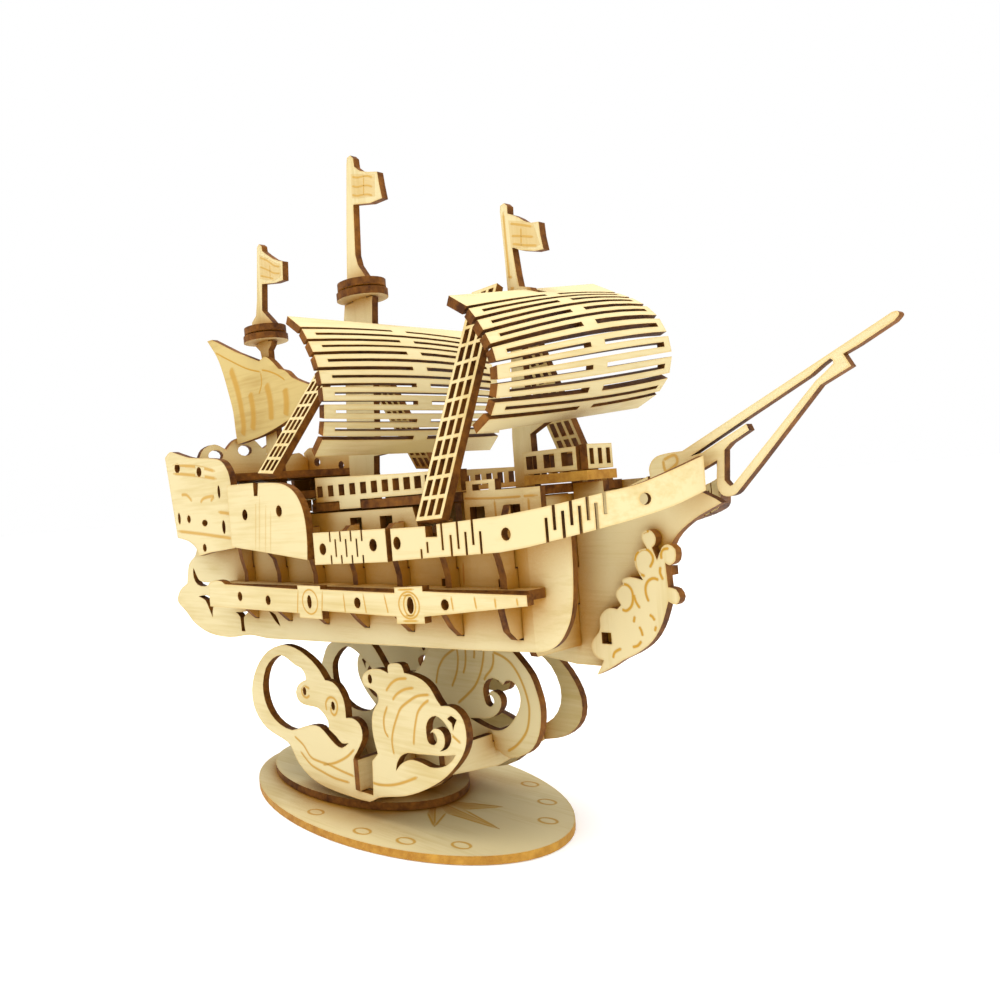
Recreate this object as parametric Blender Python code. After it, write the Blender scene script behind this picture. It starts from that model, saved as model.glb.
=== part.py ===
# Three-masted sailing ship, a slot-together model of thin plywood on a wave stand.
# Sizes are in millimetres and scaled to metres when a mesh is written.
# The bow points along +X, port is +Y, and Z = 0 is the underside of the base.
# The keel lies in the plane Y = 0.

import math

import bmesh
import bpy
from mathutils import Vector

MM = 0.001

# Driving dimensions.
PLY = 2.0
FIT = 0.3
SLOPE = 0.1

BASE_LENGTH = 128.4
BASE_WIDTH = 62.5
BASE_SIDE_SHIFT = 2.3
BASE_TURN = math.radians(-6.3)
STEP_LENGTH = 84.4
STEP_WIDTH = 43.6
STEP_SHIFT = -18.0

WAVE_SPACING = 18.0
WAVE_TURN_X = 8.9
CROSS_X = {"aft": -14.0, "mid": 12.0, "fore": 43.0}

HULL_HALF = 19.0
FRAME_X = (-31.0, -13.0, 5.0, 22.5, 40.0, 57.0, 74.0)
FRAME_HALF = 25.7
GALLERY_FRAME_HALF = 23.7
BOW_FRAME_HALF = 24.5
FRAME_BOTTOM = 47.0
FRAME_TOP = 80.0
LAP_Z = 66.0
KEEL_LAP_Z = 56.0
KEEL_TOP = 64.0

WALE_Z = 61.0
SHELF_END = 81.6
QUARTER_Y = 27.0
GALLERY_Y = 25.0

MAIN_DECK_Z = 81.3
QUARTER_DECK_Z = 85.0
POOP_DECK_Z = 92.0
ROOF_Z = 83.6
ROOF_HALF = 4.9
RAIL_Y = 19.0
RAIL_TAB = (15.2, 24.1)
FORE_DECK_HALF = 16.5
TRANSOM_X = -67.5

# Plans of the hull's bent sheets: the centre lines, as (x, y) from the stern to the bow.
SIDE_PLAN = ((-83.0, HULL_HALF), (62.0, HULL_HALF), (78.0, 17.8), (88.4, 15.1))
STRIP_PLAN = ((-42.0, 27.5), (42.0, 27.5), (62.0, 26.4), (86.0, 23.8))
BULWARK_PLAN = ((14.5, 27.0), (30.0, 27.0), (45.0, 27.0), (60.0, 27.0), (76.0, 26.0),
                (90.0, 23.5), (101.0, 17.0), (107.5, 8.5), (110.8, 2.6))

SAIL_PLANKS = 9
MAIN_SAIL_HALF = 29.0
FORE_SAIL_HALF = 28.0
SAIL_GAP = 0.8
SAIL_SLOT = 0.7
SAIL_BRIDGE = 4.6
SAIL_END = 3.0
SHROUD_BAR = 0.9
SLIT = 0.6

PLYWOOD_COLOUR = (0.80, 0.62, 0.42, 1.0)
PLYWOOD_ROUGHNESS = 0.62


# Scene and material helpers.
def clear_scene():
    for item in list(bpy.data.objects):
        bpy.data.objects.remove(item, do_unlink=True)


def new_collection(name):
    group = bpy.data.collections.new(name)
    bpy.context.scene.collection.children.link(group)
    return group


def plywood(name):
    material = bpy.data.materials.new("plywood_" + name)
    material.use_nodes = True
    shader = material.node_tree.nodes["Principled BSDF"]
    shader.inputs["Base Color"].default_value = PLYWOOD_COLOUR
    shader.inputs["Roughness"].default_value = PLYWOOD_ROUGHNESS
    shader.inputs["Metallic"].default_value = 0.0
    return material


# Outline helpers: every loop is a list of (u, v) pairs in the sheet's own plane.
def oval(centre, half_u, half_v, steps=12):
    points = []
    for index in range(steps):
        angle = 2.0 * math.pi * index / steps
        points.append((centre[0] + half_u * math.cos(angle),
                       centre[1] + half_v * math.sin(angle)))
    return points


def box_loop(low_u, low_v, high_u, high_v):
    return [(low_u, low_v), (high_u, low_v), (high_u, high_v), (low_u, high_v)]


def curve_loop(points, steps=3):
    # A third value marks a sharp corner; the curve is smooth through the others.
    count = len(points)
    loop = []
    for index in range(count):
        here = points[index]
        after = points[(index + 1) % count]
        start = Vector(here[:2])
        end = Vector(after[:2])
        leave = (end - start)
        arrive = (end - start)
        if len(here) == 2:
            leave = (end - Vector(points[index - 1][:2])) * 0.5
        if len(after) == 2:
            arrive = (Vector(points[(index + 2) % count][:2]) - start) * 0.5
        span = (end - start).length
        for tangent in (leave, arrive):
            if tangent.length > span:
                tangent *= span / tangent.length
        if len(here) == 3 and len(after) == 3:
            loop.append(tuple(start))
            continue
        for step in range(steps):
            t = step / steps
            point = (start * (2 * t ** 3 - 3 * t ** 2 + 1)
                     + leave * (t ** 3 - 2 * t ** 2 + t)
                     + end * (3 * t ** 2 - 2 * t ** 3)
                     + arrive * (t ** 3 - t ** 2))
            loop.append(tuple(point))
    return loop


def mirrored_u(loop, about=0.0):
    return [(2.0 * about - point[0], point[1]) for point in reversed(loop)]


# Sheet builder: fills the loops, bisects the sheet where it bends, and gives it thickness.
def filled_sheet(loops, cuts_u=(), cuts_v=()):
    sheet = bmesh.new()
    for loop in loops:
        corners = [sheet.verts.new((u, v, 0.0)) for u, v in loop]
        for index, corner in enumerate(corners):
            sheet.edges.new((corners[index - 1], corner))
    bmesh.ops.triangle_fill(sheet, use_beauty=True, use_dissolve=False,
                            edges=sheet.edges[:], normal=(0.0, 0.0, 1.0))
    for axis, places in ((0, cuts_u), (1, cuts_v)):
        for place in places:
            point = [0.0, 0.0, 0.0]
            normal = [0.0, 0.0, 0.0]
            point[axis] = place
            normal[axis] = 1.0
            geometry = sheet.verts[:] + sheet.edges[:] + sheet.faces[:]
            bmesh.ops.bisect_plane(sheet, geom=geometry, dist=1e-5,
                                   plane_co=point, plane_no=normal)
    bmesh.ops.triangulate(sheet, faces=sheet.faces[:])
    for face in sheet.faces:
        face.normal_update()
        if face.normal.z < 0.0:
            face.normal_flip()
    return sheet


def thick_mesh(name, sheet, surface, thickness=PLY):
    # The surface function maps (u, v, w) to millimetres, with w across the sheet.
    solid = bmesh.new()
    half = thickness / 2.0
    front = {}
    back = {}
    for vertex in sheet.verts:
        front[vertex] = solid.verts.new(Vector(surface(vertex.co.x, vertex.co.y, half)) * MM)
        back[vertex] = solid.verts.new(Vector(surface(vertex.co.x, vertex.co.y, -half)) * MM)
    for face in sheet.faces:
        solid.faces.new([front[corner] for corner in face.verts])
        solid.faces.new([back[corner] for corner in reversed(face.verts)])
    for edge in sheet.edges:
        if len(edge.link_faces) == 1:
            loop = edge.link_loops[0]
            first = loop.vert
            second = loop.link_loop_next.vert
            solid.faces.new((back[first], back[second], front[second], front[first]))
    bmesh.ops.recalc_face_normals(solid, faces=solid.faces[:])
    mesh = bpy.data.meshes.new(name)
    solid.to_mesh(mesh)
    solid.free()
    sheet.free()
    return mesh


def add_object(name, mesh, parts, location=(0.0, 0.0, 0.0), rotation=(0.0, 0.0, 0.0)):
    item = bpy.data.objects.new(name, mesh)
    item.location = Vector(location) * MM
    item.rotation_euler = rotation
    item.data.materials.append(plywood(name))
    parts.objects.link(item)
    return item


def flat(u, v, w):
    return (u, v, w)


def lengthways_plate(name, loops, y, parts, thickness=PLY):
    # Upright plate along the ship: u is X and v is Z.
    mesh = thick_mesh(name, filled_sheet(loops), flat, thickness)
    return add_object(name, mesh, parts, (0.0, y, 0.0), (math.pi / 2.0, 0.0, 0.0))


def crossways_plate(name, loops, x, parts, thickness=PLY):
    # Upright plate across the ship: u is Y and v is Z.
    mesh = thick_mesh(name, filled_sheet(loops), flat, thickness)
    return add_object(name, mesh, parts, (x, 0.0, 0.0), (math.pi / 2.0, 0.0, math.pi / 2.0))


def level_plate(name, loops, z, parts, thickness=PLY):
    # Flat plate: u is X and v is Y.
    mesh = thick_mesh(name, filled_sheet(loops), flat, thickness)
    return add_object(name, mesh, parts, (0.0, 0.0, z))


def bent_plate(name, loops, surface, parts, cuts_u=(), cuts_v=(), thickness=PLY):
    mesh = thick_mesh(name, filled_sheet(loops, cuts_u, cuts_v), surface, thickness)
    return add_object(name, mesh, parts)


def cut_boxes(item, boxes, cutters):
    # Each box is (low corner, high corner) in millimetres.
    mesh = bpy.data.meshes.new("cut_" + item.name)
    cutter_mesh = bmesh.new()
    for low, high in boxes:
        made = bmesh.ops.create_cube(cutter_mesh, size=1.0)["verts"]
        for vertex in made:
            for axis in range(3):
                middle = (low[axis] + high[axis]) / 2.0
                size = high[axis] - low[axis]
                vertex.co[axis] = (middle + vertex.co[axis] * size) * MM
    cutter_mesh.to_mesh(mesh)
    cutter_mesh.free()
    cutter = bpy.data.objects.new("cut_" + item.name, mesh)
    cutter.hide_render = True
    cutter.display_type = "WIRE"
    cutters.objects.link(cutter)
    boolean = item.modifiers.new("slots", "BOOLEAN")
    boolean.operation = "DIFFERENCE"
    boolean.solver = "EXACT"
    boolean.object = cutter


def slot_around(x=None, y=None, z=None, reach=500.0):
    # A box one sheet thick with clearance on the named planes, and open on the others.
    low = []
    high = []
    for value in (x, y, z):
        if value is None:
            low.append(-reach)
            high.append(reach)
        elif isinstance(value, tuple):
            low.append(value[0])
            high.append(value[1])
        else:
            low.append(value - PLY / 2.0 - FIT)
            high.append(value + PLY / 2.0 + FIT)
    return tuple(low), tuple(high)


# Stand: oval base, step, three wave plates and three cross plates.
def near_wave_loops(notched):
    # The wave beside the viewer: a curling crest aft and a shell forward.
    left = [
        (-19.6, 15.1, 1), (-21.5, 16.5), (-27.3, 17.7), (-32.6, 19), (-36.8, 21.6),
        (-39.2, 24.9), (-39.6, 29.3), (-37.7, 33.6), (-34.1, 37.8), (-28.3, 41.7),
        (-20.8, 43.9), (-16, 43.9), (-11, 42.9), (-5.4, 40.6), (-1.9, 38.2), (0.2, 36, 1),
        (3.4, 35.8), (6, 34.5), (7.9, 32.1), (8.5, 29.6), (8.5, 27, 1), (11.2, 27.3),
        (13.8, 26.6), (15.2, 24.8), (14.9, 22.2), (12.2, 18.8, 1)]
    notch = [(10.7, 17.3, 1), (10.7, 8.8, 1), (17.8, 8.8, 1), (18.6, 17.5, 1)]
    shell = [
        (21.2, 19.7, 1), (20.1, 23), (19.7, 26.6), (20.6, 30), (23.1, 32.7), (23.3, 34.5),
        (21, 35.7), (18.1, 36.2), (17.1, 37.9), (18.7, 39.7), (21.7, 40.8), (25.1, 41),
        (28.2, 40.3, 1), (28.4, 42.3), (31.3, 43), (33.6, 42.7), (34.5, 40.9, 1), (37.5, 40.7),
        (41, 39.9), (43.7, 38.3), (45.6, 35.9), (47.1, 34.5, 1), (49.9, 34.8), (52.5, 34),
        (54.3, 32.3), (55, 29.7), (54.7, 27), (53.3, 24.4), (51, 21.8), (47.2, 18.6),
        (42.6, 15.8), (36.8, 13.1), (30.8, 11), (24.8, 9.7), (20, 8.6), (16, 6.8), (6, 6.6),
        (-4, 7), (-11, 8.4), (-16.6, 11.4)]
    outer = curve_loop(left + notch + shell if notched else left + shell, 2)
    opening = curve_loop([
        (-21.3, 41), (-25.8, 39.8), (-30.3, 36.6), (-32.8, 31.7), (-32.4, 27.1), (-29.6, 23.4),
        (-25, 21.1), (-18.8, 20.2), (-12.8, 21.9), (-8.1, 23), (-4.2, 23), (-0.6, 21.1),
        (2.4, 19.4), (5.5, 18.8), (8.9, 20.6, 1), (5.7, 20.1), (3.2, 21.6), (0.1, 23, 1),
        (0, 25.1), (-1.7, 26.8), (-4.4, 28.1), (-8.3, 28.2), (-11.8, 28.3), (-14.2, 29.4),
        (-14.9, 31.3), (-13.5, 33.3), (-10.8, 34.7), (-9.2, 35.1, 1), (-9.5, 36.7),
        (-11.2, 38.2), (-14.2, 38.8), (-17.7, 40.2)], 2)
    crescent = curve_loop([
        (28.1, 16.6, 1), (28.8, 18.6), (30.6, 20.6), (33.4, 21.8), (37.2, 22.1), (41.7, 22.6),
        (45.3, 22.9), (50.9, 24, 1), (49.4, 22.4), (47.1, 20.9), (44.2, 20), (41.3, 19.7),
        (38.5, 20.2), (35.1, 20.4), (32.4, 19.7), (29.9, 18.3)], 2)
    spiral = curve_loop([
        (41.1, 26.4), (41.1, 29), (42.4, 31), (44.7, 32), (46.7, 31.5), (48.3, 30.4),
        (49.8, 28.5), (49.6, 26.7), (48, 24.9), (45.4, 23.9, 1), (47, 25.2), (47.5, 26.9),
        (47, 28.4), (45.4, 29.1), (43.6, 28.8), (42.4, 27.7, 1), (43.5, 28.1), (44.5, 27.3),
        (44.7, 26.2), (43.5, 25.1), (41.7, 25.3)], 2)
    leaf = curve_loop([(48.9, 31.8, 1), (50.3, 32.7), (52.2, 32, 1), (51.3, 30.7),
                       (50.6, 29.3, 1), (50.4, 31, 1)], 2)
    curl_holes = [oval(centre, 0.9, 1.2, 8) for centre in ((-10.4, 32), (3, 29.5), (20.5, 38.2))]
    return [outer, opening, crescent, spiral, leaf] + curl_holes


def middle_wave_loops():
    outer = curve_loop([
        (-11, 13, 1), (-14, 15.6), (-20, 17.6), (-27, 21.4), (-31.1, 29.4), (-30, 33.1),
        (-27.7, 37.2), (-25.1, 40.4), (-18.5, 42.9), (-10.8, 43.3), (-5.6, 42.8),
        (-2.8, 41.8), (0, 39), (3.5, 34.5, 1), (8, 35.5), (15.5, 36), (19.7, 39.4),
        (21.8, 42.7), (26.8, 44, 1), (53, 44, 1), (55.4, 41.9), (58.3, 38.9), (59.8, 35.6),
        (60.7, 32.2), (60.6, 28.8), (59.6, 25.2), (57.3, 21.8), (54.1, 19.7), (49.3, 18.2),
        (46, 19.2), (43.6, 20.3, 1), (39.5, 18.7), (35, 16), (29, 12), (22, 7), (16, 4.6, 1),
        (-2, 4.6, 1), (-7, 8)], 2)
    opening = curve_loop([
        (-15.7, 40.7), (-20.1, 38.6), (-23.2, 35.4), (-23.7, 32.4), (-23.1, 29.2),
        (-20.9, 26.2), (-17.7, 23.9), (-13.3, 22.6), (-8.4, 22.6), (-4.9, 23.9), (-2.7, 26.4),
        (-2.6, 30), (-3.8, 35), (-5.5, 36.3), (-8.2, 38.1), (-11.3, 39.8)], 2)
    spiral = curve_loop([
        (41.9, 32.1), (41.8, 34.2), (43.1, 36.1), (45.3, 37), (47.3, 36.7), (48.9, 35.7, 1),
        (50.1, 36.8), (52.1, 36.9), (53.6, 35.7), (54.4, 33.6), (54.1, 31.3), (52.5, 28.7),
        (50.2, 26.3), (47.3, 24.7), (44.5, 24.3), (41, 24.8), (36, 26.2, 1), (39.8, 26.6),
        (43.4, 27.1), (46, 28.4), (47.6, 30.3), (47.8, 32.2), (46.6, 33.5), (44.6, 33.8),
        (43.4, 32.5, 1), (44.3, 32.8), (45.2, 32), (45.3, 31), (44.1, 29.9), (42.5, 30.4)], 2)
    return [outer, opening, spiral]


def turned_loops(loops, about):
    return [mirrored_u(loop, about) for loop in loops]


def turned_oval(length, width, along_axis):
    # An oval on the base's turned long axis, at a distance along it from the base's centre.
    cosine = math.cos(BASE_TURN)
    sine = math.sin(BASE_TURN)
    loop = []
    for u, v in oval((along_axis, 0.0), length / 2.0, width / 2.0, 72):
        loop.append((u * cosine - v * sine, u * sine + v * cosine + BASE_SIDE_SHIFT))
    return loop


def build_stand(parts, cutters):
    level_plate("base_disc", [turned_oval(BASE_LENGTH, BASE_WIDTH, 0.0)], PLY / 2.0, parts)
    step_z = PLY * 1.5 + FIT
    level_plate("step_disc", [turned_oval(STEP_LENGTH, STEP_WIDTH, STEP_SHIFT)], step_z, parts)
    floor_z = step_z + PLY / 2.0 + FIT

    laps = {"aft": 14.0, "mid": 12.0, "fore": 21.6}
    plates = {
        "starboard": (near_wave_loops(True), -WAVE_SPACING, ()),
        "middle": (middle_wave_loops(), 0.0, ("aft", "mid", "fore")),
        "port": (turned_loops(near_wave_loops(False), WAVE_TURN_X), WAVE_SPACING, ("mid",)),
    }
    for label, (loops, y, crossings) in plates.items():
        plate = lengthways_plate("wave_plate_" + label, loops, y, parts)
        boxes = [slot_around(x=CROSS_X[key], z=(-5.0, laps[key] + FIT / 2.0))
                 for key in crossings]
        if boxes:
            cut_boxes(plate, boxes, cutters)

    inside = WAVE_SPACING - PLY / 2.0 - FIT
    outside = WAVE_SPACING + PLY / 2.0 + 0.5
    outlines = {
        "aft": [(-inside, 9), (-9, floor_z), (9, floor_z), (inside, 9), (inside, 19),
                (-inside, 19)],
        "mid": [(-outside, 9.1), (-inside, 9.1), (-9, floor_z), (9, floor_z), (inside, 9),
                (outside, 9), (outside, 17), (-outside, 17)],
        "fore": [(-inside, 17.4), (0, 15.4), (inside, 17.4), (inside, 23.4), (-inside, 23.4)],
    }
    for label, outline in outlines.items():
        plate = crossways_plate("stand_cross_" + label, [outline], CROSS_X[label], parts)
        boxes = [slot_around(y=0.0, z=(laps[label] - FIT / 2.0, 60.0))]
        if label == "mid":
            boxes.append(slot_around(y=WAVE_SPACING, z=(laps[label] - FIT / 2.0, 60.0)))
        cut_boxes(plate, boxes, cutters)


# Bent sheets: broken lines in plan, and flat strips between upright folds.
def broken_line(points):
    return [Vector(point) for point in points]


def open_curve(points, steps=6):
    line = []
    for index in range(len(points) - 1):
        before = Vector(points[max(index - 1, 0)])
        start = Vector(points[index])
        end = Vector(points[index + 1])
        after = Vector(points[min(index + 2, len(points) - 1)])
        for step in range(steps):
            t = step / steps
            line.append(start * (2 * t ** 3 - 3 * t ** 2 + 1)
                        + (end - before) * 0.5 * (t ** 3 - 2 * t ** 2 + t)
                        + end * (3 * t ** 2 - 2 * t ** 3)
                        + (after - start) * 0.5 * (t ** 3 - t ** 2))
    line.append(Vector(points[-1]))
    return line


def along(line, distance):
    # The point and the unit tangent at a distance along a broken line.
    travelled = 0.0
    for index in range(len(line) - 1):
        step = line[index + 1] - line[index]
        if travelled + step.length >= distance or index == len(line) - 2:
            tangent = step.normalized()
            return line[index] + tangent * (distance - travelled), tangent
        travelled += step.length
    return line[-1], (line[-1] - line[-2]).normalized()


def line_length(line):
    return sum((line[i + 1] - line[i]).length for i in range(len(line) - 1))


def plan_y(plan, x):
    # The distance of a plan's centre line from the keel at a place along the ship.
    for (x0, y0), (x1, y1) in zip(plan[:-1], plan[1:]):
        if x <= x1:
            return y0 + (y1 - y0) * (x - x0) / (x1 - x0)
    return plan[-1][1]


def folded_surface(line, stations, side):
    # Flat strips between upright folds along a line in plan, with mitred corners.
    corners = [along(line, station - line[0].x)[0] for station in stations]
    outward = []
    for index in range(len(corners)):
        before = corners[max(index - 1, 0)]
        after = corners[min(index + 1, len(corners) - 1)]
        first = (corners[index] - before) if index else (after - corners[index])
        second = (after - corners[index]) if after != corners[index] else first
        normals = [Vector((-step.y, step.x)).normalized() for step in (first, second)]
        middle = (normals[0] + normals[1]).normalized()
        outward.append(middle / middle.dot(normals[0]))

    def place(u, v, w):
        index = 0
        while index < len(stations) - 2 and u > stations[index + 1]:
            index += 1
        share = (u - stations[index]) / (stations[index + 1] - stations[index])
        point = (corners[index] + outward[index] * w).lerp(
            corners[index + 1] + outward[index + 1] * w, share)
        return (point.x, side * point.y, v)
    return place


# Hull: keel, two side plates and seven frames, halved into each other.
def build_hull(parts, cutters):
    keel_outline = curve_loop([
        (-66.2, 52, 1), (-60, 45.3, 1), (-20, 44.9, 1), (52, 44.9, 1), (73, 42.7, 1),
        (80, 42.8, 1), (90, 51), (97, 62), (101, 69.5), (106, 73.3), (112.4, 76.2, 1),
        (111.2, 77, 1), (108, 78.6, 1), (96, 78.6, 1), (96, 82.3, 1), (93, 81.3),
        (90, 80.4), (84.4, 79.9, 1), (84.4, 82.2, 1), (76, 82.2, 1),
        (76, KEEL_TOP, 1), (-66.2, KEEL_TOP, 1)], 4)
    keel = lengthways_plate("keel_plate", [keel_outline], 0.0, parts)
    cut_boxes(keel, [slot_around(x=x, z=(KEEL_LAP_Z - FIT / 2.0, 90.0)) for x in FRAME_X],
              cutters)

    side_outline = curve_loop([
        (-82.3, 54.5), (-76.9, 51.4), (-71.2, 47.8), (-61.4, 45.1), (-48.5, 44.6),
        (-36.1, 46), (-26, 45.6, 1), (35, 47.5, 1), (79, 48.9, 1), (81.5, 49.5),
        (83.6, 50.9), (85.1, 52.9), (86.4, 55.5), (87.3, 59.4), (87.8, 65), (88, 71, 1),
        (88, 75.4, 1), (82, 75.4, 1), (82, 82.1, 1),
        (70.8, 82.1, 1), (70.8, 84.4, 1), (62.6, 84.4, 1), (62.6, 82.1, 1), (61.6, 82.1, 1),
        (61.6, 74, 1), (46, 74, 1), (44, 79.8, 1), (6, 79.8, 1), (-66.2, 79.8, 1),
        (-65.4, 71.2, 1), (-67, 69.2), (-71.9, 66.4), (-74.2, 60.4, 1), (-79.6, 58.2)])
    scrolls = [
        curve_loop([(-69, 65.4), (-69.3, 62.4), (-67, 60.2), (-62, 59.7), (-56.8, 61, 1),
                    (-62, 61), (-65.6, 61.6), (-67.4, 63.4)], 2),
        curve_loop([(-67, 56.4, 1), (-62.6, 55.4), (-60.6, 53), (-58.6, 50.2, 1),
                    (-57.8, 53.2), (-54.2, 55.2, 1), (-57.4, 56.2), (-62, 57)], 2),
        curve_loop([(-43.6, 52.4, 1), (-41, 51), (-40.8, 46.9, 1), (-38.6, 46.9, 1),
                    (-38.8, 51), (-34.4, 53.4, 1), (-39, 52.6)], 2),
        curve_loop([(-24, 53.4, 1), (-20.6, 52.6), (-18.4, 49.4, 1), (-20.8, 50.6)], 2),
    ]
    windows = [box_loop(x, 74.2, x + 4.8, 78.2) for x in (19.2, 31.4)]
    windows += [box_loop(x, 75.8, x + 4.2, 78.9) for x in (63.2, 72.9)]
    windows.append(box_loop(64.4, 82.3, 69.0, 83.6))
    tab_holes = [box_loop(x - 1.1, 61.8, x + 1.1, 63.6) for x in (53.3, 70.7)]
    folds = [62.0, 78.045]
    line = broken_line(SIDE_PLAN)
    for side, label in ((-1, "starboard"), (1, "port")):
        plate = bent_plate("side_plate_" + label,
                           [side_outline] + scrolls + windows + tab_holes,
                           folded_surface(line, [line[0].x] + folds + [line[-1].x], side),
                           parts, folds)
        boxes = [slot_around(x=x, z=(51.15, LAP_Z + FIT / 2.0)) for x in FRAME_X]
        cut_boxes(plate, boxes, cutters)

    shelf_bottom = WALE_Z - PLY / 2.0 - FIT
    upper_halves = [GALLERY_FRAME_HALF] + [FRAME_HALF] * 4 + [FRAME_HALF - 0.4, BOW_FRAME_HALF]
    side_slot = PLY / 2.0 + FIT + SLOPE
    for number, (x, upper) in enumerate(zip(FRAME_X, upper_halves), start=1):
        lower = plan_y(STRIP_PLAN, x) - PLY / 2.0 - 2.0 * FIT - SLOPE
        half_frame = [
            (0, FRAME_BOTTOM), (15, FRAME_BOTTOM), (17.4, 52), (20.4, 51.4), (22.4, 53.4),
            (lower, 57.6), (lower, shelf_bottom), (22.2, shelf_bottom), (22.2, 64.5),
            (23.2, 68.4), (upper, 71.6), (upper, 74), (23, 76.5), (20.5, 76.5),
            (19, FRAME_TOP), (0, FRAME_TOP)]
        outline = half_frame + [(-y, z) for y, z in reversed(half_frame[1:-1])]
        frame = crossways_plate("frame_%d" % number, [outline], x, parts)
        boxes = [slot_around(y=0.0, z=(0.0, KEEL_LAP_Z + FIT / 2.0))]
        for side in (-1, 1):
            middle = side * plan_y(SIDE_PLAN, x)
            boxes.append(slot_around(y=(middle - side_slot, middle + side_slot),
                                     z=(LAP_Z - FIT / 2.0, 90.0)))
        cut_boxes(frame, boxes, cutters)


# Wale: a level shelf and an upright strip with two cartouches on each side.
def build_wale(parts, cutters):
    # The shelf lies between the side plate and the strip, and both bend in toward the bow.
    clear = PLY / 2.0 + FIT + SLOPE
    places = (-42.0, 42.0, 62.0, SHELF_END)
    outer_edge = [(x, plan_y(STRIP_PLAN, x) - clear) for x in places]
    inner_edge = [(x, plan_y(SIDE_PLAN, x) + clear) for x in (SHELF_END, 78.0, 62.0, -41.0)]
    shelf_outline = outer_edge + inner_edge
    strip_outline = curve_loop([
        (-42, 55.4, 1), (6.2, 55.4, 1), (6.2, 54.3, 1), (16.5, 54.3, 1), (16.5, 56.4, 1),
        (45.7, 56.2, 1), (45.7, 54.6, 1), (54.8, 55, 1), (54.8, 56.5, 1), (83.2, 59.3, 1),
        (83.2, 61.4, 1), (54.8, 61.9, 1), (54.8, 63, 1), (45.7, 62.6, 1), (45.7, 61.4, 1),
        (16.5, 61.6, 1), (16.5, 62.4, 1), (6.2, 62.4, 1), (6.2, 61.4, 1), (-32, 62, 1),
        (-34, 62.8), (-38, 63), (-42, 62, 1)])
    strip_holes = [oval((11.2, 58.4), 1.0, 1.7, 10), oval((50.6, 58.8), 1.1, 1.9, 10),
                   oval((-23.8, 58.8), 1.3, 1.3, 10), oval((-8.8, 58.2), 1.3, 1.3, 10),
                   oval((31.6, 58.8), 1.3, 1.3, 10), oval((61.4, 59.2), 1.2, 1.2, 10)]
    folds = [42.0, 62.03]
    line = broken_line(STRIP_PLAN)
    for side, label in ((-1, "starboard"), (1, "port")):
        loop = [(x, side * y) for x, y in shelf_outline]
        shelf = level_plate("wale_shelf_" + label, [loop], WALE_Z, parts)
        near = sorted((side * 10.0, side * (22.2 + FIT)))
        cut_boxes(shelf, [slot_around(x=x, y=tuple(near), z=(50.0, 70.0)) for x in FRAME_X],
                  cutters)
        bent_plate("wale_strip_" + label, [strip_outline] + strip_holes,
                   folded_surface(line, [line[0].x] + folds + [line[-1].x], side), parts, folds)


# Bulwarks: sheets bent round the bow, with hinge slits.
def notched(loop, notches):
    # Opens narrow slits from the lower edge (way 1) or the upper edge (way -1) up to a tip.
    for way, middle, tip in notches:
        enter = middle - way * SLIT / 2.0
        leave = middle + way * SLIT / 2.0
        opened = []
        for index, end in enumerate(loop):
            start = loop[index - 1]
            run = end[0] - start[0]
            for place in (enter, leave):
                share = (place - start[0]) / run if run * way > 0.0 else -1.0
                if 0.0 <= share <= 1.0:
                    edge = (place, start[1] + share * (end[1] - start[1]))
                    opened += [edge, (place, tip)] if place == enter else [(place, tip), edge]
            between = run * way > 0.0 and enter * way < end[0] * way < leave * way
            if not between:
                opened.append(tuple(end))
        loop = opened
    return loop


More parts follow.
